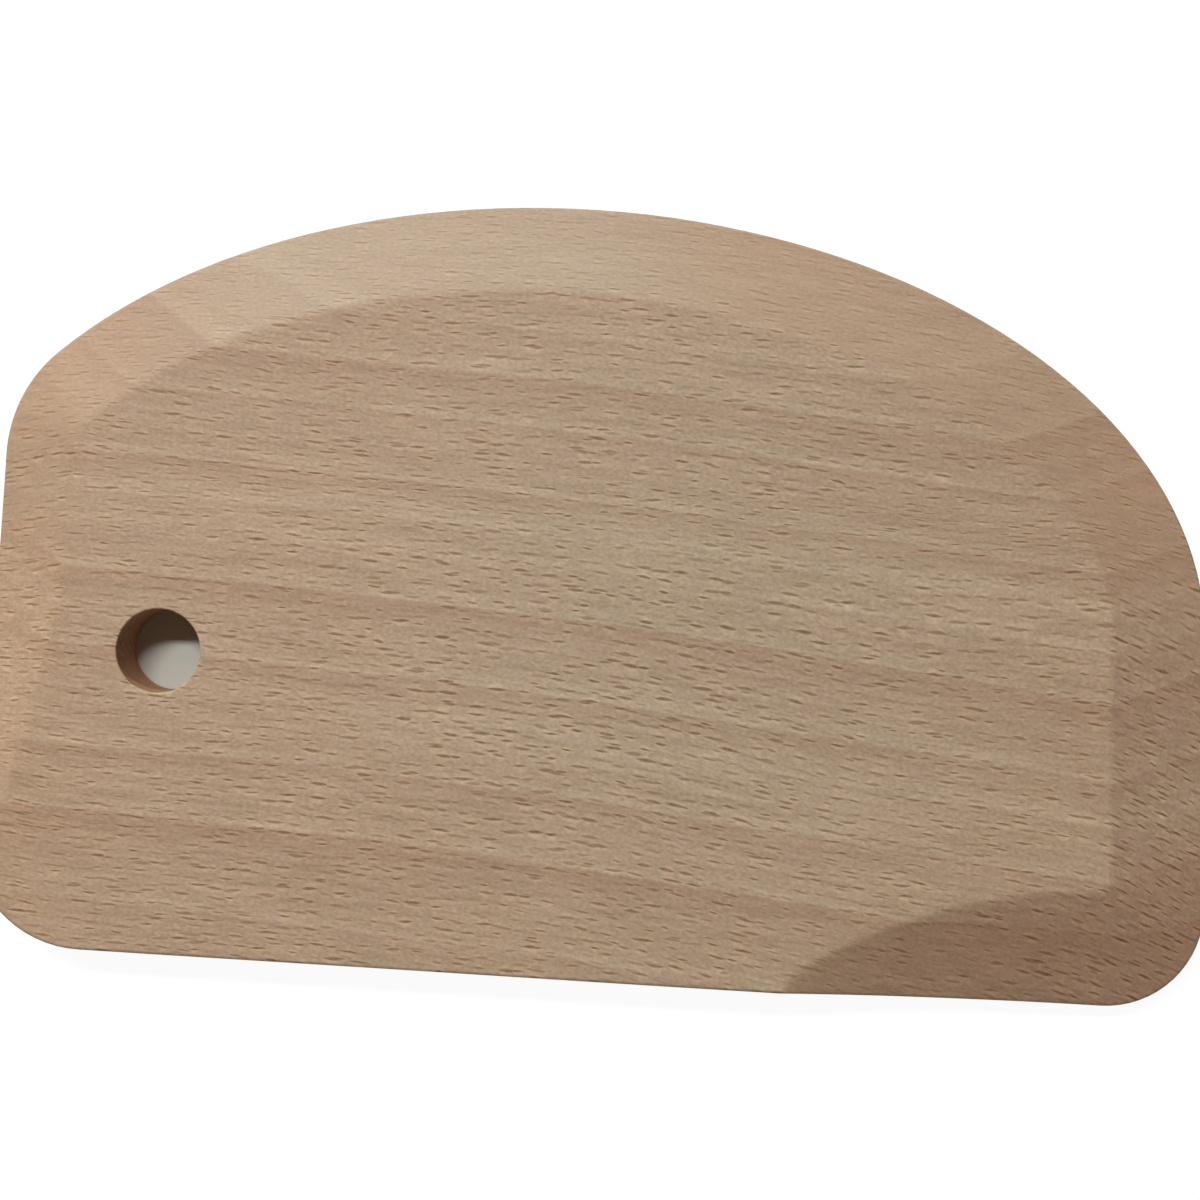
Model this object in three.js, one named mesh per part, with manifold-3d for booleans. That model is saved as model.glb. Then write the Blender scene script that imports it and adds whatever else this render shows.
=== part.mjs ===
// Dough scraper cut from one beech board. The arched side is thinned by a bevel on the upper face,
// the straight side keeps its full thickness, and a hole is drilled to hang it by.
// Millimetres, +Z up. The flat back lies on Z = 0, X runs along the straight edge,
// and the origin is under the middle of the board.

import * as THREE from 'three';
import { mergeVertices } from 'three/addons/utils/BufferGeometryUtils.js';
import Module from 'manifold-3d';

// Board
const boardLength = 150;
const boardWidth = 93.5;
const boardThickness = 8;

// Outline, seen from above with the straight edge in front
const archHalfRise = 49.4;      // upright half axis of the ellipse that the arch follows
const archPastSide = 8;         // the ellipse would end this far past the left side
const sideLeanDegrees = 3.5;    // the right side spreads towards the straight edge
const heelRadius = 14;          // corner at front left
const toeRadius = 12.1;         // corner at front right
const shoulderRadius = 17.5;    // corner between the left side and the arch

// Bevel on the upper face
const edgeThickness = 4;        // what the bevel leaves at the working edge
const bevelAtToeFront = 14.7;   // widths across the bevel, from the straight edge round to the left
const bevelAtToeSide = 12.9;
const bevelAtArch = 12.8;
const bevelAtShoulder = 10;
const innerToeRadius = 1.5;     // corners of the flat that is left inside the bevel
const innerShoulderRadius = 3;
const bevelAlongFront = 52;     // length of the bevel on the straight edge
const toeSweep = 70;            // radii on which the bevel runs out at its two ends
const heelSweep = 155;

// Hanging hole
const holeDiameter = 10;
const holeFromSide = 21.3;      // to the middle of the hole
const holeFromFront = 36.4;

// Sanded softness of the edges
const ridgeEase = 0.5;          // ridge between the flat and the bevel
const edgeEase = 0.5;           // upper edge all round
const backEase = 0.5;           // lower edge all round
const holeEase = 0.25;          // both rims of the hole

// Facets
const cornerSteps = 16;
const sideSteps = 8;
const archSteps = 64;
const runOutSteps = 28;
const easeSteps = 3;
const holeSides = 56;
const holeOvershoot = 2;        // the drill passes both faces by this much
const halvings = 50;            // steps of the search for the shoulder

const left = -boardLength / 2;
const right = boardLength / 2;
const front = -boardWidth / 2;
const crown = boardWidth / 2;
const fullDepth = boardThickness - edgeThickness;
const plainRim = edgeEase + 2 * ridgeEase;      // rim of the upper face where there is no bevel

const vec = (x, y) => new THREE.Vector2(x, y);
const mix = THREE.MathUtils.lerp;

// Where the outline turns
const sideLean = THREE.MathUtils.degToRad(sideLeanDegrees);
const sideNormal = vec(Math.cos(sideLean), Math.sin(sideLean));
const heel = vec(left + heelRadius, front + heelRadius);
const toe = vec(right - toeRadius, front + toeRadius);
const sideReach = sideNormal.dot(toe) + toeRadius;

// The arch is an ellipse that touches the right side and the crown.
const archEnd = left - archPastSide;
const archCentreY = crown - archHalfRise;
const archReach = sideReach - sideNormal.x * archEnd - sideNormal.y * archCentreY;
const archHalfSpan = (archReach ** 2 - (archHalfRise * sideNormal.y) ** 2) / (2 * archReach * sideNormal.x);
const archCentre = vec(archEnd + archHalfSpan, archCentreY);

function archNormal(angle) {
  return vec(archHalfRise * Math.cos(angle), archHalfSpan * Math.sin(angle)).normalize();
}

function archPoint(angle, inset = 0) {
  const point = vec(archHalfSpan * Math.cos(angle), archHalfRise * Math.sin(angle)).add(archCentre);
  return point.addScaledVector(archNormal(angle), -inset);
}

// Angle on the arch where a corner of this radius, set in from the outline, leaves the arch
function shoulderAngle(inset, radius) {
  let low = Math.PI / 2;
  let high = Math.PI;
  for (let step = 0; step < halvings; step += 1) {
    const middle = (low + high) / 2;
    if (archPoint(middle, inset + radius).x > left + inset + radius) {
      low = middle;
    } else {
      high = middle;
    }
  }
  return low;
}

// Centre of the circle of this radius that passes through both points and bows to the left of the way
function sweepCentre(from, to, radius) {
  const halfWay = to.clone().sub(from).multiplyScalar(0.5);
  const rightHand = vec(halfWay.y, -halfWay.x).normalize();
  const middle = from.clone().add(halfWay);
  return middle.addScaledVector(rightHand, Math.sqrt(radius ** 2 - halfWay.lengthSq()));
}

const archStart = Math.atan2(archHalfRise * sideNormal.y, archHalfSpan * sideNormal.x);
const archStop = shoulderAngle(0, shoulderRadius);
const shoulder = archPoint(archStop, shoulderRadius);
const innerArchStop = shoulderAngle(bevelAtShoulder, innerShoulderRadius);
const innerShoulder = archPoint(innerArchStop, bevelAtShoulder + innerShoulderRadius);

const innerToeY = front + bevelAtToeFront + innerToeRadius;
const innerSideReach = sideReach - bevelAtToeSide - innerToeRadius;
const innerToe = vec((innerSideReach - sideNormal.y * innerToeY) / sideNormal.x, innerToeY);

// At each end the flat's boundary follows a large circle out to the edge.
const toeRunOut = vec(right - bevelAlongFront, front + plainRim);
const toeSweepEnd = vec(innerToe.x, front + bevelAtToeFront);
const toeSweepCentre = sweepCentre(toeRunOut, toeSweepEnd, toeSweep);
const heelSweepCentre = vec(left + bevelAtShoulder - heelSweep, innerShoulder.y);

// A station holds a point of the outline, the outward direction there, the matching point on the
// boundary of the flat, and how far the bevel has gone down at the outline.
function station(edge, normal, rim, depth) {
  return { edge, normal, rim, depth };
}

function depthFor(width, fullWidth) {
  return fullDepth * (width - plainRim) / (fullWidth - plainRim);
}

function round(angle) {
  return vec(Math.cos(angle), Math.sin(angle));
}

function onCircle(centre, radius, normal) {
  return centre.clone().addScaledVector(normal, radius);
}

function stretch(steps, makeStation) {
  return Array.from({ length: steps }, (_, step) => makeStation(step / steps));
}

function plainStation(edge, normal) {
  return station(edge, normal, edge.clone().addScaledVector(normal, -plainRim), 0);
}

const forward = vec(0, -1);
const leftward = vec(-1, 0);

// Straight edge, plain from the heel to the start of the bevel
const straightEdge = [plainStation(vec(heel.x, front), forward)];

// Straight edge, where the bevel widens towards the toe
const toeEnd = stretch(runOutSteps, (share) => {
  const rimX = mix(toeRunOut.x, toeSweepEnd.x, share);
  const rimY = toeSweepCentre.y + Math.sqrt(toeSweep ** 2 - (rimX - toeSweepCentre.x) ** 2);
  const edge = vec(mix(toeRunOut.x, toe.x, share), front);
  return station(edge, forward, vec(rimX, rimY), depthFor(rimY - front, bevelAtToeFront));
});

// Toe, where the bevel fans out from one corner of the flat
const toeCorner = stretch(cornerSteps, (share) => {
  const normal = round(mix(-Math.PI / 2, sideLean, share));
  const rim = onCircle(innerToe, innerToeRadius, normal);
  return station(onCircle(toe, toeRadius, normal), normal, rim, fullDepth);
});

// Right side and arch, at the full depth of the bevel
const sideStart = onCircle(toe, toeRadius, sideNormal);
const innerSideStart = onCircle(innerToe, innerToeRadius, sideNormal);
const rightSide = stretch(sideSteps, (share) => {
  const edge = sideStart.clone().lerp(archPoint(archStart), share);
  const rim = innerSideStart.clone().lerp(archPoint(archStart, bevelAtArch), share);
  return station(edge, sideNormal, rim, fullDepth);
});

const arch = stretch(archSteps, (share) => {
  const angle = mix(archStart, archStop, share);
  const rim = archPoint(mix(archStart, innerArchStop, share), mix(bevelAtArch, bevelAtShoulder, share));
  return station(archPoint(angle), archNormal(angle), rim, fullDepth);
});

// Shoulder, where the bevel fans out again
const turnToLeft = (angle) => Math.atan2(archNormal(angle).y, archNormal(angle).x);
const shoulderCorner = stretch(cornerSteps, (share) => {
  const normal = round(mix(turnToLeft(archStop), Math.PI, share));
  const innerNormal = round(mix(turnToLeft(innerArchStop), Math.PI, share));
  const rim = onCircle(innerShoulder, innerShoulderRadius, innerNormal);
  return station(onCircle(shoulder, shoulderRadius, normal), normal, rim, fullDepth);
});

// Left side, where the bevel narrows towards the heel
const leftSide = stretch(runOutSteps, (share) => {
  const rimY = mix(innerShoulder.y, heel.y, share);
  const sweepX = heelSweepCentre.x + Math.sqrt(heelSweep ** 2 - (rimY - heelSweepCentre.y) ** 2);
  const width = Math.max(sweepX - left, plainRim);
  const edge = vec(left, mix(shoulder.y, heel.y, share));
  return station(edge, leftward, vec(left + width, rimY), depthFor(width, bevelAtShoulder));
});

// The last of the bevel runs out on the heel, as far as the sweep still cuts it.
function heelBevelWidth(edge, normal) {
  const offset = edge.clone().sub(heelSweepCentre);
  if (offset.length() > heelSweep) {
    return plainRim;
  }
  const outward = offset.dot(normal);
  const width = outward + Math.sqrt(outward ** 2 + heelSweep ** 2 - offset.lengthSq());
  return Math.max(width, plainRim);
}

const heelCorner = stretch(cornerSteps, (share) => {
  const normal = round(mix(Math.PI, 1.5 * Math.PI, share));
  const edge = onCircle(heel, heelRadius, normal);
  const width = heelBevelWidth(edge, normal);
  const rim = edge.clone().addScaledVector(normal, -width);
  return station(edge, normal, rim, depthFor(width, bevelAtShoulder));
});

const stations = [
  ...straightEdge, ...toeEnd, ...toeCorner, ...rightSide,
  ...arch, ...shoulderCorner, ...leftSide, ...heelCorner,
];

// Section through the board's rim at one station, from the flat over the bevel to the back
function rimSection({ edge, normal, rim, depth }) {
  const inward = rim.clone().sub(edge);
  const width = inward.length();
  inward.normalize();
  const slope = depth / width;
  const edgeTop = boardThickness - depth;
  const at = (direction, inset, height) => {
    const point = edge.clone().addScaledVector(direction, inset);
    return new THREE.Vector3(point.x, point.y, height);
  };
  const back = normal.clone().negate();
  const ridge = new THREE.QuadraticBezierCurve3(
    at(inward, width + ridgeEase, boardThickness),
    at(inward, width, boardThickness),
    at(inward, width - ridgeEase, boardThickness - ridgeEase * slope),
  );
  const upperEdge = new THREE.QuadraticBezierCurve3(
    at(inward, edgeEase, edgeTop + edgeEase * slope),
    at(inward, 0, edgeTop),
    at(inward, 0, edgeTop - edgeEase),
  );
  const lowerEdge = new THREE.QuadraticBezierCurve3(
    at(back, 0, backEase),
    at(back, 0, 0),
    at(back, backEase, 0),
  );
  return [ridge, upperEdge, lowerEdge].flatMap((curve) => curve.getPoints(easeSteps));
}

// Skin through the sections, closed by the flat above and the back below
function boardGeometry() {
  const sections = stations.map(rimSection);
  const count = sections.length;
  const rings = sections[0].length;
  const positions = sections.flat().flatMap((point) => point.toArray());
  const index = [];
  for (let column = 0; column < count; column += 1) {
    const here = column * rings;
    const next = ((column + 1) % count) * rings;
    for (let ring = 0; ring < rings - 1; ring += 1) {
      index.push(here + ring, here + ring + 1, next + ring + 1);
      index.push(here + ring, next + ring + 1, next + ring);
    }
  }
  const cap = (ring, faceUp) => {
    const outline = sections.map((section) => vec(section[ring].x, section[ring].y));
    THREE.ShapeUtils.triangulateShape(outline, []).forEach(([a, b, c]) => {
      const corners = faceUp ? [a, b, c] : [a, c, b];
      index.push(...corners.map((corner) => corner * rings + ring));
    });
  };
  cap(0, true);
  cap(rings - 1, false);
  const geometry = new THREE.BufferGeometry();
  geometry.setAttribute('position', new THREE.Float32BufferAttribute(positions, 3));
  geometry.setIndex(index);
  return geometry;
}

// Drill with a rounded collar at each face, so that the hole's rims come out softened
function holeGeometry() {
  const radius = holeDiameter / 2;
  const collar = (face, inner, outer) => new THREE.QuadraticBezierCurve(
    vec(radius, inner), vec(radius, face), vec(radius + holeEase, face),
  ).getPoints(easeSteps).concat(vec(radius + holeEase, outer));
  const lower = collar(0, holeEase, -holeOvershoot).reverse();
  const upper = collar(boardThickness, boardThickness - holeEase, boardThickness + holeOvershoot);
  const profile = [vec(0, -holeOvershoot), ...lower, ...upper, vec(0, boardThickness + holeOvershoot)];
  return new THREE.LatheGeometry(profile, holeSides)
    .rotateX(Math.PI / 2)
    .translate(left + holeFromSide, front + holeFromFront, 0);
}

const wasm = await Module();
wasm.setup();

function toSolid(geometry) {
  geometry.deleteAttribute('normal');
  geometry.deleteAttribute('uv');
  const merged = mergeVertices(geometry);
  return new wasm.Manifold(new wasm.Mesh({
    numProp: 3,
    vertProperties: new Float32Array(merged.attributes.position.array),
    triVerts: new Uint32Array(merged.index.array),
  }));
}

function toGeometry(solid) {
  const { vertProperties, triVerts } = solid.getMesh();
  const geometry = new THREE.BufferGeometry();
  geometry.setAttribute('position', new THREE.BufferAttribute(vertProperties, 3));
  geometry.setIndex(new THREE.BufferAttribute(triVerts, 1));
  geometry.computeVertexNormals();
  return geometry;
}

const beech = new THREE.MeshStandardMaterial({ color: 0xc39b74, roughness: 0.62, metalness: 0 });

const board = new THREE.Mesh(toGeometry(toSolid(boardGeometry()).subtract(toSolid(holeGeometry()))), beech);
board.name = 'beech_board';

const scraper = new THREE.Group();
scraper.name = 'dough_scraper';
scraper.add(board);

export default scraper;
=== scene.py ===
from math import atan2, cos, hypot, radians, sin

import bpy
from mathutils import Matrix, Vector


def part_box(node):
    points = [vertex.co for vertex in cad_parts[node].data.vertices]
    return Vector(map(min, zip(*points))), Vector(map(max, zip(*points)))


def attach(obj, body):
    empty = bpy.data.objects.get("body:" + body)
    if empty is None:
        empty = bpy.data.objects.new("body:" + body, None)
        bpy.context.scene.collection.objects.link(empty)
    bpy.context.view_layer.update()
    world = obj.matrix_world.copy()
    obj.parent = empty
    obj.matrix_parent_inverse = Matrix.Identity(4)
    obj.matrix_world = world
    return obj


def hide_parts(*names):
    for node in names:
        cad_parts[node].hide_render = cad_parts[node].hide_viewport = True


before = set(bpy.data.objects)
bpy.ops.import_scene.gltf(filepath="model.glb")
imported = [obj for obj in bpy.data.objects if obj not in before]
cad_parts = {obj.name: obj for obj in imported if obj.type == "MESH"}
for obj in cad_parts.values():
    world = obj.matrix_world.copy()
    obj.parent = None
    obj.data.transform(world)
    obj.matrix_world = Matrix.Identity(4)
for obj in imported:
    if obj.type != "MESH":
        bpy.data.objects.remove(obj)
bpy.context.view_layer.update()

mm = 0.001
scene = bpy.context.scene
scene.view_settings.view_transform = "Standard"


def deselectAll():
    if bpy.context.object and bpy.context.object.mode != "OBJECT":
        bpy.ops.object.mode_set(mode="OBJECT")
    bpy.ops.object.select_all(action="DESELECT")


# node helpers: a value is a plain number or colour, or an output socket to link
def put(tree, kind, values=(), **settings):
    node = tree.nodes.new("ShaderNode" + kind)
    for name, setting in settings.items():
        setattr(node, name, setting)
    for key, value in dict(values).items():
        if isinstance(value, bpy.types.NodeSocket):
            tree.links.new(value, node.inputs[key])
        else:
            node.inputs[key].default_value = value
    return node


def calc(tree, operation, *terms, clamp=False):
    return put(tree, "Math", enumerate(terms), operation=operation, use_clamp=clamp).outputs[0]


def scaled(tree, vector, factors):
    return put(tree, "VectorMath", {0: vector, 1: factors}, operation="MULTIPLY").outputs[0]


def stretched(tree, vector, factor):
    return put(tree, "VectorMath", {0: vector, "Scale": factor}, operation="SCALE").outputs[0]


def distance(tree, first, second):
    return put(tree, "VectorMath", {0: first, 1: second}, operation="DISTANCE").outputs["Value"]


def noise(tree, vector, scale, detail=2.0, roughness=0.5):
    node = put(tree, "TexNoise", {"Vector": scaled(tree, vector, scale), "Scale": 1.0,
                                  "Detail": detail, "Roughness": roughness})
    return node.outputs["Fac"]


def spread(tree, value, low, high, outLow=0, outHigh=1, soft=False):
    node = put(tree, "MapRange", {"Value": value, "From Min": low, "From Max": high,
                                  "To Min": outLow, "To Max": outHigh},
               interpolation_type="SMOOTHSTEP" if soft else "LINEAR")
    return node.outputs["Result"]


def opaque(colour):
    return (*colour, 1)


def mixed(tree, share, first, second):
    first, second = [opaque(tint) if isinstance(tint, tuple) else tint for tint in (first, second)]
    return put(tree, "Mix", {0: share, 6: first, 7: second}, data_type="RGBA").outputs[2]


def tinted(tree, colour, share, tint):  # colour times tint where share is 1
    return scaled(tree, colour, mixed(tree, share, (1, 1, 1), tint))


def newMaterial(name):
    material = bpy.data.materials.new(name)
    material.use_nodes = True
    material.node_tree.nodes.clear()
    return material, material.node_tree


# camera, straight down over the board, turned a little
cameraPlace = {
    "x": -1.30, "y": -0.96, "height": 189.7,  # mm, from the back of the board
    "turn": 3.6,                              # degrees
    "lens": 45.57, "sensor": 36,              # mm
    "nearest": 0.01,                          # metres
}


def addCamera(place):
    deselectAll()
    spot = (place["x"] * mm, place["y"] * mm, place["height"] * mm)
    bpy.ops.object.camera_add(location=spot, rotation=(0, 0, radians(place["turn"])))
    camera = bpy.context.object
    camera.name = "camera"
    camera.data.lens = place["lens"]
    camera.data.sensor_width = place["sensor"]
    camera.data.clip_start = place["nearest"]
    scene.camera = camera


addCamera(cameraPlace)
print("camera placed")


# light: a strip lamp up beyond the arch, a window low behind it, and a trace of even fill
lamps = {  # metres, degrees, watts
    "strip": {"spot": (-0.128, 0.250, 0.500), "width": 0.26, "height": 0.04, "roll": -20.7, "power": 2.57},
    "window": {"spot": (-0.525, 0.962, 0.488), "width": 0.60, "height": 0.25, "roll": 0, "power": 9.3},
}
fillStrength = 0.05


def addLamp(name, lamp):
    deselectAll()
    x, y, z = lamp["spot"]
    aim = (atan2(hypot(x, y), z), 0, atan2(x, -y))  # lamp looks back at the board
    bpy.ops.object.light_add(type="AREA", location=lamp["spot"], rotation=aim)
    light = bpy.context.object
    light.name = name
    light.rotation_euler.rotate_axis("Z", radians(lamp["roll"]))
    light.data.shape = "RECTANGLE"
    light.data.size = lamp["width"]
    light.data.size_y = lamp["height"]
    light.data.energy = lamp["power"]


def seenRays(tree):  # 1 for rays that show the stage: camera, gloss and glass
    rays = put(tree, "LightPath").outputs
    seen = calc(tree, "MAXIMUM", rays["Is Camera Ray"], rays["Is Glossy Ray"])
    return calc(tree, "MAXIMUM", seen, rays["Is Transmission Ray"])


def addFill(strength):
    world = bpy.data.worlds.new("studio")
    scene.world = world
    world.use_nodes = True
    tree = world.node_tree
    tree.nodes.clear()
    level = spread(tree, seenRays(tree), 0, 1, strength, 1)
    background = put(tree, "Background", {"Color": opaque((1, 1, 1)), "Strength": level})
    put(tree, "OutputWorld", {"Surface": background.outputs[0]})


for name, lamp in lamps.items():
    addLamp(name, lamp)
addFill(fillStrength)
print("lamps placed")


# floor: white paper, washed out to the studio's white except under the board
paper = {
    "size": 6.0, "drop": 0.05,       # metres, mm
    "white": (0.84, 0.84, 0.84),     # how it lights the board
    "glow": 0.95,                    # the open floor, as seen
    "fade": (0.3, 1.0),              # metres, from here it turns into the backdrop's white
    "shade": (0.09, 0.09, 0.09),     # keeps the board's shadow on the open floor
    "under": (0.48, 0.485, 0.435),   # painted shade: the paper under the board, darker than the white paper, as seen through the hole
    "hole": (-53.7, -10.35), "underRadius": 14,  # mm
}


def addFloor(sheet):
    deselectAll()
    bpy.ops.mesh.primitive_plane_add(size=sheet["size"], location=(0, 0, -sheet["drop"] * mm))
    floor = bpy.context.object
    floor.name = "floor"
    bpy.ops.object.transform_apply(location=True, rotation=True, scale=True)
    material, tree = newMaterial("whitePaper")
    place = put(tree, "TexCoord").outputs["Object"]
    hole = (sheet["hole"][0] * mm, sheet["hole"][1] * mm, -sheet["drop"] * mm)
    away = distance(tree, place, hole)
    opened = calc(tree, "GREATER_THAN", away, sheet["underRadius"] * mm)
    level = calc(tree, "MULTIPLY", opened, spread(tree, away, *sheet["fade"], sheet["glow"], 1))
    glow = put(tree, "Emission", {"Color": opaque((1, 1, 1)), "Strength": level})
    # painted shade on the paper under the board
    tint = mixed(tree, opened, sheet["under"], sheet["shade"])
    lit = put(tree, "BsdfDiffuse", {"Color": tint})
    shown = put(tree, "AddShader", {0: glow.outputs[0], 1: lit.outputs[0]})
    plain = put(tree, "BsdfDiffuse", {"Color": opaque(sheet["white"])})
    both = put(tree, "MixShader", {0: seenRays(tree), 1: plain.outputs[0], 2: shown.outputs[0]})
    put(tree, "OutputMaterial", {"Surface": both.outputs[0]})
    floor.data.materials.append(material)


addFloor(paper)
print("floor laid")


# board: the CAD solid, merged, cut into a fine grid and sanded a little uneven
boardShape = {
    "node": "beech_board",
    "mergeGap": 0.001,      # mm
    "flatAngle": 0.3,       # degrees, faces this close become one before the grid is cut
    "grid": 3.0,            # mm
    "sanding": 0.05,        # mm, deepest hollow left by the sanding
    "sandingSize": 16,      # mm, from hollow to hollow
    "smoothAngle": 50,      # degrees, below it an edge is shaded round
}


def cutGrid(low, high, spacing):
    for axis in (0, 1):
        direction = [0, 0, 0]
        direction[axis] = 1
        place = low[axis] + spacing
        while place < high[axis]:
            bpy.ops.mesh.select_all(action="SELECT")
            spot = [0, 0, 0]
            spot[axis] = place
            bpy.ops.mesh.bisect(plane_co=spot, plane_no=direction)
            place += spacing


def addBoard(shape):
    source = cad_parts[shape["node"]]
    board = bpy.data.objects.new("beech_scraper", source.data.copy())
    board.data.materials.clear()
    scene.collection.objects.link(board)
    deselectAll()
    bpy.context.view_layer.objects.active = board
    board.select_set(True)
    bpy.ops.mesh.customdata_custom_splitnormals_clear()
    bpy.ops.object.mode_set(mode="EDIT")
    bpy.ops.mesh.select_all(action="SELECT")
    bpy.ops.mesh.remove_doubles(threshold=shape["mergeGap"] * mm)
    bpy.ops.mesh.dissolve_limited(angle_limit=radians(shape["flatAngle"]))
    cutGrid(*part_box(shape["node"]), shape["grid"] * mm)
    bpy.ops.object.mode_set(mode="OBJECT")

    # hollows only, so that nothing stands proud of the solid
    hollows = bpy.data.textures.new("sanding", type="CLOUDS")
    hollows.noise_scale = shape["sandingSize"] * mm
    bpy.ops.object.modifier_add(type="DISPLACE")
    sanding = board.modifiers[-1]
    sanding.texture = hollows
    sanding.mid_level = 1.0
    sanding.strength = shape["sanding"] * mm
    bpy.ops.object.modifier_apply(modifier=sanding.name)

    bpy.ops.object.shade_smooth_by_angle(angle=radians(shape["smoothAngle"]))
    bpy.ops.object.modifier_add(type="WEIGHTED_NORMAL")  # large faces stay flat, eased edges turn smoothly
    bpy.ops.object.modifier_apply(modifier=board.modifiers[-1].name)
    return board


board = addBoard(boardShape)
print("board:", len(board.data.polygons), "faces")


# beech: one solid grain, so that each face shows its own cut of the same wood
slowNoise, fineNoise = (0.3, 0.7), (0.25, 0.75)  # where most of a noise's values lie
redraw = 7.0                                     # makes a second random number out of one
beech = {
    "early": (0.375, 0.274, 0.1775), "late": (0.315, 0.207, 0.128),

    # grain: how it falls along the board, with the change per mm, and how it wanders, mm
    "slope": 0.067, "bend": 0.00037, "fan": -0.0003,
    "wander": 0.4, "wanderScale": (0.012, 0.05, 0.05),
    "tilt": 33, "thickness": 8,           # degrees, ring planes against the face, and mm
    # fibres swing off the rings: from x to x, fading in from y to y, and by how much, mm
    "swings": [(-8, 36, 10, -8, 2.0), (-32, 4, 8, 18, -1.1), (-70, -32, 6, 16, 1.8),
               (30, 95, -35, 5, -4.0), (52, 76, -10, -35, 2.0), (-84, -62, -90, -80, 2.4)],

    # growth rings on the face: place across the grain in mm, light above, dark below
    "rings": [(-60, 0.6, 0.6), (-53, 0.5, 0.5), (-44.5, 0.6, 0.4), (-33.4, 0.9, 0.9), (-25.3, 0.75, 0.7),
              (-18.5, 0.5, 0.2), (-13.2, 0.8, 0.7), (-4, 1.1, 1.0), (1.6, 0.6, 0.0), (5.6, 0.6, 0.15),
              (10.5, 0.65, 0.7), (18.8, 0.8, 0.6), (24.6, 1.0, 0.7), (30.2, 0.7, 0.2)],
    "earlyWidth": 1.08, "lateWidth": 1.62,                 # mm, across the rings
    "earlyRise": 0.08, "latePeak": 0.05, "lateEnd": 0.03,  # mm, from the ring's sharp side
    "earlyShare": -0.60, "lateShare": 0.66,                # of the late colour
    "ringFade": (-0.75, -0.35),           # rings show less below the face: at the left end, and elsewhere
    # tone of the wood from ring to ring: place, and share of the late colour
    "years": [(-44, 0.38), (-40, 0.52), (-36.5, 0.77), (-31, 0.44), (-23, 0.40), (-19.5, 0.24), (-16, 0.50),
              (-13, 0.42), (-10, 0.47), (-5, 0.62), (-1, 0.53), (3, 0.36), (7, 0.36), (10, 0.50), (13, 0.58),
              (17, 0.42), (20.5, 0.70), (24, 0.62), (29, 0.58)],
    "patch": 0.15, "patchScale": (0.02, 0.12, 0.12), "patchDetail": 3,  # uneven tone within a year

    # fine texture: how much it lightens and darkens, its scale in the grain, and roughness
    "fibre": (0.14, (0.10, 1.5, 1.1), 0.6),
    "streak": (0.05, (0.055, 1.4, 1.0), 0.6),
    "speck": (0.175, (2.0, 3.2, 2.4), 0.5),
    "warmth": (0.86, 1.0, 1.20),          # how far each channel follows it
    "calm": 0.65,                         # what is left of it on the bevel along the arch
    "shadeDrift": -0.0012,                     # painted shade, darker per mm towards the arch, evening out how the lamps fall off

    # hue: blond round a place and ruddy away from it, ruddy bevel at the right, from the toe to the arch
    "blond": (0.975, 1.0, 1.02), "ruddy": (1.025, 1.0, 0.985), "blondPlace": (12, 0, 0), "blondReach": (10, 58),
    "toeRuddy": (1.02, 0.99, 1.005), "archRuddy": (1.055, 0.985, 0.955),
    "endRuddy": (1.04, 0.998, 0.98),      # left end
    # bevel along the arch: painted sheen, paler and cooler at the top of the arch, and painted shade, darker,
    # farther off
    "crown": (0.958, 1.040, 1.105), "flankShade": (0.944, 0.941, 0.935),
    "crownPlace": (-23, 38, 6), "crownReach": (16, 42),
    "toeShade": (0.888, 0.80, 0.752),        # painted shade, darker and redder on the bevel at the toe
    "endGrain": (0.84, 0.80, 0.76),
    # painted shade: darker and redder inside the bore
    "hole": (-53.7, -10.35), "holeRadius": 5.3, "boreShade": (0.95, 0.71, 0.47),

    # ray flecks: what one leaves of the colour under it, and how far specks break it up
    "fleck": (0.34, 0.25, 0.13), "broken": (0.6, 1.15),
    "ripple": 0.07, "rippleScale": (0.5, 1.5, 0.4),  # mm, unevenness of their sides
    "fleckFade": 0.42,                    # lost on the bevel along the arch
    "fleckRise": (-0.05, 0.28),           # gained down the right-hand bevel
    "toeFall": 0.28,                      # lost at the toe, short of its corner
    # strongest and widest here, weaker and thinner farther off
    "strongPlace": (-8, -12, 8), "strongReach": (14, 60), "weaker": 0.88, "thinner": 0.8,

    # where each change comes in, from and to: heights, then places along and across, mm
    "pastRidge": (7.98, 7.85), "belowFace": (7.95, 7.2), "toeDepth": (7.97, 7.8), "boreDepth": (7.9, 7.5),
    "rightLean": -0.3, "rightSide": (45, 60), "rightRun": (-15, 15), "riseRun": (5, -20),
    "toeLean": 0.3, "toeSide": (43, 53), "toeRun": (50, 64),
    "archSide": (-6, 8), "archRun": (12, 24), "leftRun": (-68, -58), "leftEnd": (-56, -70),
    "endFacing": (0.55, 0.95),            # share of the surface's normal that points along the board

    "roughness": (0.60, 0.70), "specular": 0.5,
    "relief": 0.02, "fibreRelief": 0.4,   # mm, and the fibres' share of it
}
rayFlecks = {  # mm: one to a cell of a staggered net, with a painted highlight along its sides
    "long": {"cellLong": 4.0, "cellWide": 0.94, "stagger": 0.5, "scatter": 0.72, "long": (1.4, 3.4),
             "wide": (0.29, 0.45), "lean": (-0.04, 0.06), "edge": 1.6, "depth": (0.0, 1.04), "highlight": 0.38},
    "short": {"cellLong": 2.5, "cellWide": 1.08, "stagger": 0.3, "scatter": 0.72, "long": (1.3, 3.0),
              "wide": (0.29, 0.47), "lean": (-0.04, 0.06), "edge": 1.6, "depth": (-0.15, 1.02), "highlight": 0.38},
}
highlightReach = 4.4  # half widths of the fleck


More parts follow.
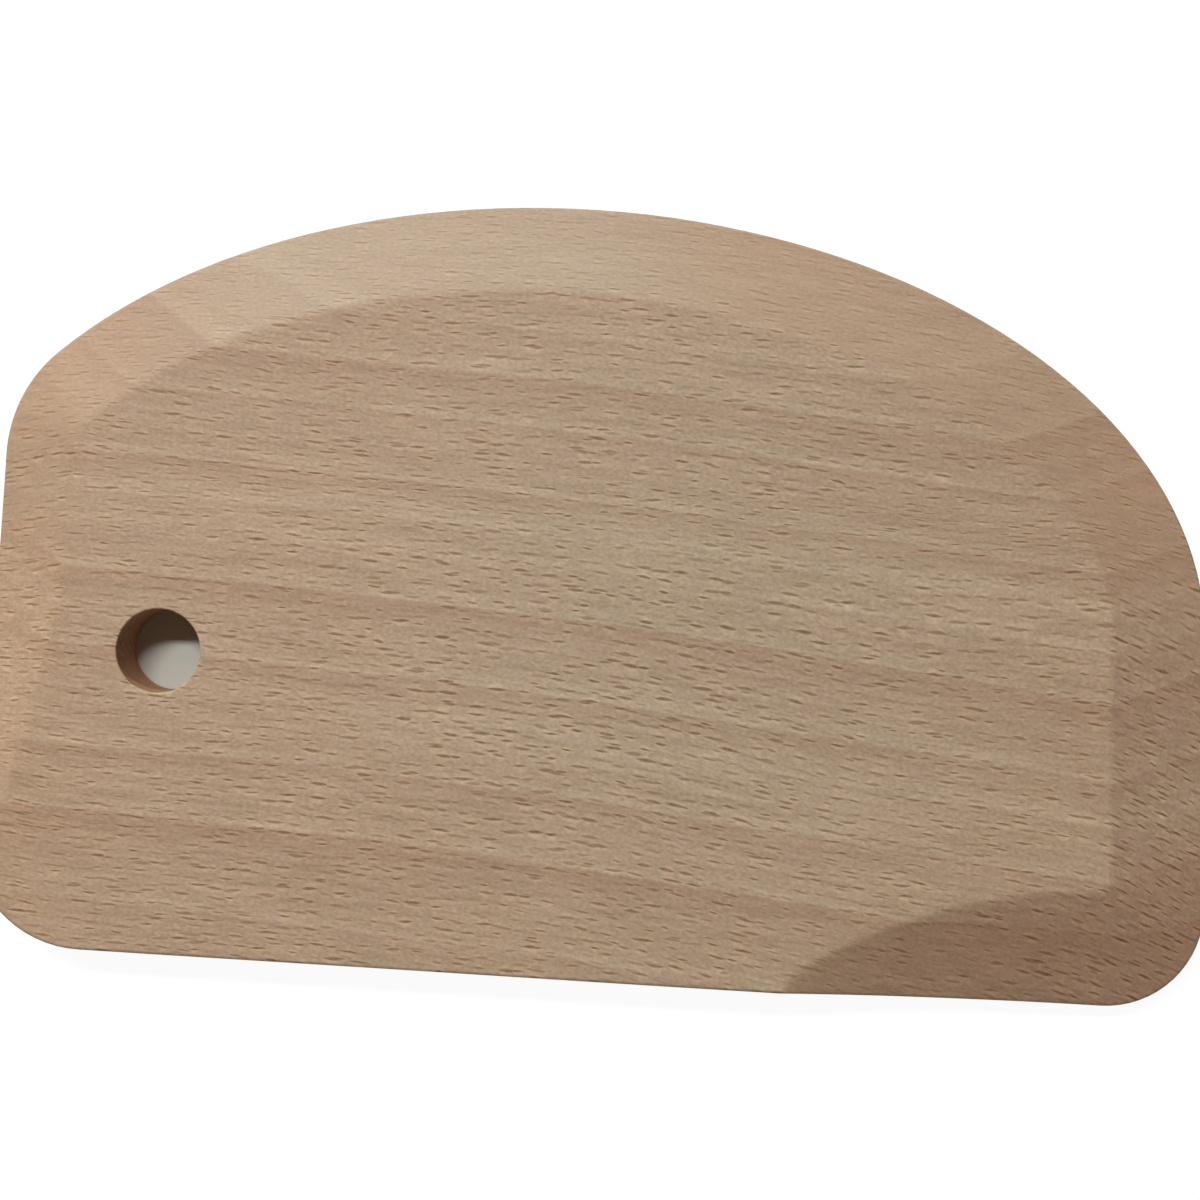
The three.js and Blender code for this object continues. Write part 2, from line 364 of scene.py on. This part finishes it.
def treeAxes(tree, wood, place, x, y, z):  # the board's axes turned into the tree's: round the rings, and outwards
    tilt = radians(wood["tilt"])
    fall = calc(tree, "MULTIPLY_ADD", y, wood["fan"], wood["slope"])
    fall = calc(tree, "MULTIPLY_ADD", x, wood["bend"], fall)
    wander = noise(tree, place, wood["wanderScale"])
    wander = spread(tree, wander, *slowNoise, -wood["wander"], wood["wander"])
    level = calc(tree, "ADD", calc(tree, "MULTIPLY_ADD", x, fall, y), wander)
    swung = level
    for start, end, fadeStart, fadeEnd, drop in wood["swings"]:
        swing = calc(tree, "MULTIPLY", spread(tree, x, start, end, 0, drop, soft=True),
                     spread(tree, y, fadeStart, fadeEnd, soft=True))
        swung = calc(tree, "ADD", swung, swing)
    around = calc(tree, "SUBTRACT", calc(tree, "MULTIPLY", swung, cos(tilt)),
                  calc(tree, "MULTIPLY", z, sin(tilt)))
    outward = calc(tree, "ADD", calc(tree, "MULTIPLY", level, sin(tilt)),
                   calc(tree, "MULTIPLY", z, cos(tilt)))
    return around, outward


def ramp(tree, value, marks):  # straight lines between marks, level ends
    lowest, highest = marks[0][0], marks[-1][0]
    node = put(tree, "ValToRGB", {0: spread(tree, value, lowest, highest)})
    stops = node.color_ramp.elements
    for index, (where, level) in enumerate(marks):
        spot = (where - lowest) / (highest - lowest)
        stop = stops[index] if index < 2 else stops.new(spot)
        stop.position = spot
        stop.color = opaque((level, level, level))
    return node.outputs[0]


def ringTone(tree, wood, outward, ringsLeft):  # share of the late colour
    tilt = radians(wood["tilt"])
    face = wood["thickness"] * cos(tilt)
    tone = ramp(tree, outward, [(where * sin(tilt) + face, share) for where, share in wood["years"]])
    half = len(wood["rings"]) // 2  # a colour ramp holds 32 marks, too few for all the rings
    lines = 0.0
    for part in (wood["rings"][:half], wood["rings"][half:]):
        light, dark = [], []
        for where, lightLevel, darkLevel in part:
            where = where * sin(tilt) + face
            light += [(where, 0), (where + wood["earlyRise"], lightLevel), (where + wood["earlyWidth"], 0)]
            dark += [(where - wood["lateWidth"], 0), (where - wood["latePeak"], darkLevel),
                     (where + wood["lateEnd"], 0)]
        lines = calc(tree, "MULTIPLY_ADD", ramp(tree, outward, dark), wood["lateShare"], lines)
        lines = calc(tree, "MULTIPLY_ADD", ramp(tree, outward, light), wood["earlyShare"], lines)
    return calc(tree, "MULTIPLY_ADD", lines, ringsLeft, tone)


def addFlecks(tree, along, across, girth, lift, shape):  # dark body of each fleck, and the painted highlight along its sides
    row = calc(tree, "DIVIDE", across, shape["cellWide"])
    column = calc(tree, "MULTIPLY_ADD", row, shape["stagger"], calc(tree, "DIVIDE", along, shape["cellLong"]))
    cell = put(tree, "CombineXYZ", {0: column, 1: row}).outputs[0]
    spots = put(tree, "TexVoronoi", {"Vector": cell, "Scale": 1.0, "Randomness": shape["scatter"]},
                voronoi_dimensions="2D", feature="F1").outputs
    offset = put(tree, "VectorMath", {0: cell, 1: spots["Position"]}, operation="SUBTRACT").outputs[0]
    ahead, aside = put(tree, "SeparateXYZ", {0: offset}).outputs[:2]
    ahead = calc(tree, "MULTIPLY_ADD", aside, -shape["stagger"], ahead)
    lengthways = calc(tree, "MULTIPLY", ahead, shape["cellLong"])
    sideways = calc(tree, "MULTIPLY", aside, shape["cellWide"])

    size, strength = put(tree, "SeparateColor", {0: spots["Color"]}).outputs[:2]  # random, from 0 to 1
    turn = calc(tree, "FRACT", calc(tree, "MULTIPLY", size, redraw))
    lean = calc(tree, "MULTIPLY", lengthways, spread(tree, turn, 0, 1, *shape["lean"]))
    halfLong = spread(tree, size, 0, 1, *(length / 2 for length in shape["long"]))
    halfWide = spread(tree, size, 0, 1, *(width / 2 for width in shape["wide"]))
    depth = calc(tree, "ADD", spread(tree, strength, 0, 1, *shape["depth"]), lift)
    depth = calc(tree, "MAXIMUM", depth, 0.0)

    end = calc(tree, "DIVIDE", lengthways, halfLong)
    side = calc(tree, "DIVIDE", calc(tree, "SUBTRACT", sideways, lean), halfWide)
    side = calc(tree, "DIVIDE", calc(tree, "ABSOLUTE", side), girth)
    taper = calc(tree, "SUBTRACT", 1.0, calc(tree, "MULTIPLY", end, end))
    body = calc(tree, "SUBTRACT", taper, side, clamp=True)
    body = calc(tree, "MULTIPLY", body, shape["edge"], clamp=True)
    fleckHighlight = calc(tree, "MULTIPLY_ADD", side, -1 / highlightReach, taper, clamp=True)
    fleckHighlight = calc(tree, "MULTIPLY", fleckHighlight, calc(tree, "SUBTRACT", 1.0, body))
    fleckHighlight = calc(tree, "MULTIPLY", fleckHighlight, shape["highlight"])
    return calc(tree, "MULTIPLY", body, depth), calc(tree, "MULTIPLY", fleckHighlight, depth)


def makeBeech(wood):
    material, tree = newMaterial("beech")
    coords = put(tree, "TexCoord").outputs
    place = stretched(tree, coords["Object"], 1 / mm)
    x, y, z = put(tree, "SeparateXYZ", {0: place}).outputs[:3]
    around, outward = treeAxes(tree, wood, place, x, y, z)
    grain = put(tree, "CombineXYZ", {0: x, 1: around, 2: outward}).outputs[0]

    # places of their own: below the face, the bevel at the right and along the arch, toe, end grain, and the bore,
    # which gets painted shade
    past = spread(tree, z, *wood["pastRidge"])
    below = spread(tree, z, *wood["belowFace"])
    rightward = calc(tree, "MULTIPLY_ADD", y, wood["rightLean"], x)
    rightBevel = calc(tree, "MULTIPLY", past, spread(tree, rightward, *wood["rightSide"]))
    archBevel = calc(tree, "MULTIPLY", past, spread(tree, y, *wood["archSide"]))
    toeward = calc(tree, "SUBTRACT", calc(tree, "MULTIPLY", x, wood["toeLean"]), y)
    toe = calc(tree, "MULTIPLY", spread(tree, toeward, *wood["toeSide"]), spread(tree, z, *wood["toeDepth"]))
    facing = calc(tree, "ABSOLUTE", put(tree, "SeparateXYZ", {0: coords["Normal"]}).outputs[0])
    ends = spread(tree, facing, *wood["endFacing"])
    flatPlace = put(tree, "CombineXYZ", {0: x, 1: y}).outputs[0]
    # where the painted shade inside the bore goes
    boreShade = calc(tree, "LESS_THAN", distance(tree, flatPlace, (*wood["hole"], 0)), wood["holeRadius"])
    boreShade = calc(tree, "MULTIPLY", boreShade, spread(tree, z, *wood["boreDepth"]))

    # growth rings
    ringsLeft = calc(tree, "MULTIPLY_ADD", below, spread(tree, x, *wood["leftRun"], *wood["ringFade"]), 1.0)
    tone = ringTone(tree, wood, outward, ringsLeft)
    patches = noise(tree, grain, wood["patchScale"], wood["patchDetail"])
    patches = spread(tree, patches, *slowNoise, -wood["patch"], wood["patch"])
    tone = calc(tree, "ADD", tone, patches, clamp=True)
    colour = mixed(tree, tone, wood["early"], wood["late"])

    # fibres, long streaks and fine specks, warmer where they are darker
    textures, shade = {}, 0.0
    for name in ("fibre", "streak", "speck"):
        amount, scale, roughness = wood[name]
        textures[name] = noise(tree, grain, scale, 1, roughness)
        shade = calc(tree, "ADD", shade, spread(tree, textures[name], *fineNoise, -amount, amount))
    shade = calc(tree, "MULTIPLY", shade, spread(tree, archBevel, 0, 1, 1, wood["calm"]))
    # painted shade, darker towards the arch
    shade = calc(tree, "MULTIPLY_ADD", y, wood["shadeDrift"], shade)
    shade = stretched(tree, wood["warmth"], shade)
    shade = put(tree, "VectorMath", {0: shade, 1: (1, 1, 1)}, operation="ADD").outputs[0]
    colour = scaled(tree, colour, shade)

    # hue: blond in the middle, ruddy outwards, and each place its own tint; painted sheen and shade on the bevel
    # along the arch, painted shade on the toe and in the bore
    outwards = spread(tree, distance(tree, place, wood["blondPlace"]), *wood["blondReach"], soft=True)
    colour = scaled(tree, colour, mixed(tree, outwards, wood["blond"], wood["ruddy"]))
    bevelRuddy = mixed(tree, spread(tree, y, *wood["rightRun"]), wood["toeRuddy"], wood["archRuddy"])
    # painted sheen at the top of the arch bevel, painted shade farther off
    fromCrown = spread(tree, distance(tree, place, wood["crownPlace"]), *wood["crownReach"], soft=True)
    archSheenAndShade = mixed(tree, fromCrown, wood["crown"], wood["flankShade"])
    leftEnd = spread(tree, x, *wood["leftEnd"])
    for share, tint in ((rightBevel, bevelRuddy), (leftEnd, wood["endRuddy"]), (archBevel, archSheenAndShade),
                        (toe, wood["toeShade"]), (ends, wood["endGrain"]), (boreShade, wood["boreShade"])):
        colour = tinted(tree, colour, share, tint)

    # ray flecks
    ripple = noise(tree, grain, wood["rippleScale"])
    across = calc(tree, "ADD", around, spread(tree, ripple, *slowNoise, -wood["ripple"], wood["ripple"]))
    lift = calc(tree, "MULTIPLY", rightBevel, spread(tree, y, *wood["riseRun"], *wood["fleckRise"]))
    lift = calc(tree, "MULTIPLY_ADD", toe, spread(tree, x, *wood["toeRun"], -wood["toeFall"], 0), lift)
    fromStrong = distance(tree, place, wood["strongPlace"])
    girth = spread(tree, fromStrong, *wood["strongReach"], 1, wood["thinner"], soft=True)
    layers = [addFlecks(tree, x, across, girth, lift, shape) for shape in rayFlecks.values()]
    archLoss = calc(tree, "MULTIPLY", below, spread(tree, y, *wood["archRun"], 0, wood["fleckFade"]))
    flecksLeft = calc(tree, "MULTIPLY", calc(tree, "SUBTRACT", 1.0, archLoss),
                      spread(tree, fromStrong, *wood["strongReach"], 1, wood["weaker"], soft=True))
    fleck, fleckHighlight = [calc(tree, "MULTIPLY", calc(tree, "MAXIMUM", *pair), flecksLeft) for pair in zip(*layers)]
    fleck = calc(tree, "MULTIPLY", fleck, spread(tree, textures["speck"], *slowNoise, *wood["broken"]))
    colour = tinted(tree, colour, fleck, wood["fleck"])
    # painted highlight along the flecks' sides
    colour = stretched(tree, colour, calc(tree, "ADD", fleckHighlight, 1.0))

    # flecks lie a little deeper than the fibres
    height = calc(tree, "SUBTRACT", calc(tree, "MULTIPLY", textures["fibre"], wood["fibreRelief"]), fleck)
    bump = put(tree, "Bump", {"Height": height, "Strength": 1.0, "Distance": wood["relief"] * mm})
    roughness = spread(tree, textures["fibre"], *fineNoise, *wood["roughness"])
    shader = put(tree, "BsdfPrincipled", {"Base Color": colour, "Roughness": roughness,
                                          "Specular IOR Level": wood["specular"], "Normal": bump.outputs[0]})
    put(tree, "OutputMaterial", {"Surface": shader.outputs[0]})
    return material


board.data.materials.append(makeBeech(beech))
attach(board, "root")
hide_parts("beech_board")
print("board dressed in beech")
